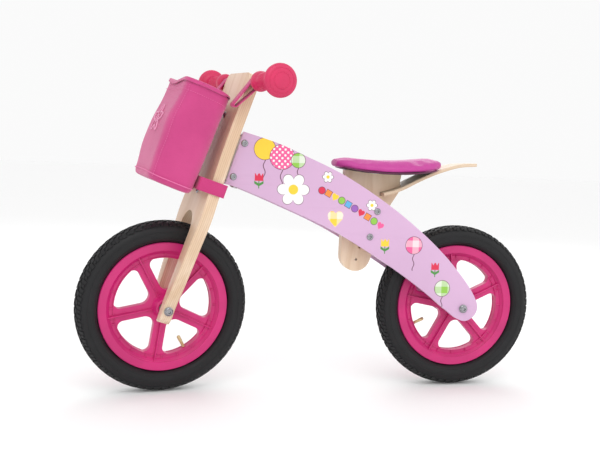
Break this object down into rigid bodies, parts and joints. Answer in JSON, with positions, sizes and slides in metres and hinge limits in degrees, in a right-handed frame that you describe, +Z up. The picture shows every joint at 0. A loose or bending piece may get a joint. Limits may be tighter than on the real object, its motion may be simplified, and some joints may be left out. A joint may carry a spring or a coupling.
{
  "type": "balance bike",
  "caption": "Child's wooden balance bike: wheel fork cut from one board, two arched side plates, spoked wheels, padded saddle and a soft bag on the fork.",
  "frame": {"origin": "on the ground, under the middle of the bike's bounding box", "axes": "+X towards the rear wheel, +Y to the rider's right, +Z up"},
  "size_m": [0.8522, 0.3924, 0.5847],
  "materials": {
    "painted_wood": "pink lilac paint with small printed motifs",
    "bare_plywood": "clear satin lacquer",
    "steel": "zinc plated, satin",
    "bush_plastic": "black nylon",
    "wheel_plastic": "magenta moulded plastic",
    "tyre_rubber": "black rubber, fine block tread",
    "tube_rubber": "thin black rubber",
    "valve_brass": "plain",
    "grip_rubber": "soft magenta rubber",
    "saddle_cover": "padded magenta imitation leather",
    "saddle_shell": "black",
    "bag_cloth": "pink woven cloth"
  },
  "bodies": {
    "frame": {"side_plate_left": "painted_wood", "side_plate_right": "painted_wood", "head_block": "bare_plywood", "steering_bush_lower": "bush_plastic", "steering_bush_upper": "bush_plastic", "head_bolt_lower": "steel", "head_bolt_lower_nut": "steel", "head_bolt_upper": "steel", "head_bolt_upper_nut": "steel", "seat_board": "bare_plywood", "seat_spacer_left": "bare_plywood", "seat_spacer_right": "bare_plywood", "seat_bolt_upper": "steel", "seat_bolt_upper_nut": "steel", "seat_bolt_lower": "steel", "seat_bolt_lower_nut": "steel", "saddle_base": "saddle_shell", "saddle_pad": "saddle_cover", "saddle_screw_front": "steel", "saddle_screw_rear": "steel", "tail_strip": "bare_plywood", "rear_axle": "steel", "rear_axle_nut_left": "steel", "rear_axle_nut_right": "steel"},
    "steering": {"fork_board": "bare_plywood", "steering_bracket_lower": "steel", "steering_bracket_upper": "steel", "bracket_bolt_lower": "steel", "bracket_bolt_lower_nut": "steel", "bracket_bolt_upper": "steel", "bracket_bolt_upper_nut": "steel", "steering_pin": "steel", "steering_pin_nut": "steel", "handlebar": "steel", "grip_left": "grip_rubber", "grip_right": "grip_rubber", "bag": "bag_cloth", "bag_strap_left": "bag_cloth", "bag_strap_right": "bag_cloth", "bag_strap_lower": "bag_cloth", "front_axle": "steel", "front_axle_nut_left": "steel", "front_axle_nut_right": "steel"},
    "bag_flap": {"bag_flap": "bag_cloth"},
    "front_wheel": {"front_rim": "wheel_plastic", "front_tyre": "tyre_rubber", "front_tube": "tube_rubber", "front_valve": "valve_brass", "front_bearing_left": "steel", "front_bearing_right": "steel"},
    "rear_wheel": {"rear_rim": "wheel_plastic", "rear_tyre": "tyre_rubber", "rear_tube": "tube_rubber", "rear_valve": "valve_brass", "rear_bearing_left": "steel", "rear_bearing_right": "steel"}
  },
  "joints": [
    {"name": "steer", "type": "hinge", "parent": "frame", "child": "steering", "pos_m": [-0.22925, 0.0086, 0.13655], "axis": [0.309, 0, 0.9511], "range_deg": [-29.9, 10.1]},
    {"name": "bag_flap_open", "type": "hinge", "parent": "steering", "child": "bag_flap", "pos_m": [-0.18447, -0.00455, 0.51819], "axis": [-0.1635, 0.9851, 0.0531], "range_deg": [0, 90]},
    {"name": "front_wheel_spin", "type": "hinge", "parent": "steering", "child": "front_wheel", "pos_m": [-0.27609, 0, 0.15177], "axis": [-0.1635, 0.9851, 0.0531], "continuous": true},
    {"name": "rear_wheel_spin", "type": "hinge", "parent": "frame", "child": "rear_wheel", "pos_m": [0.2742, 0.0086, 0.152], "axis": [0, 1, 0], "continuous": true}
  ]
}
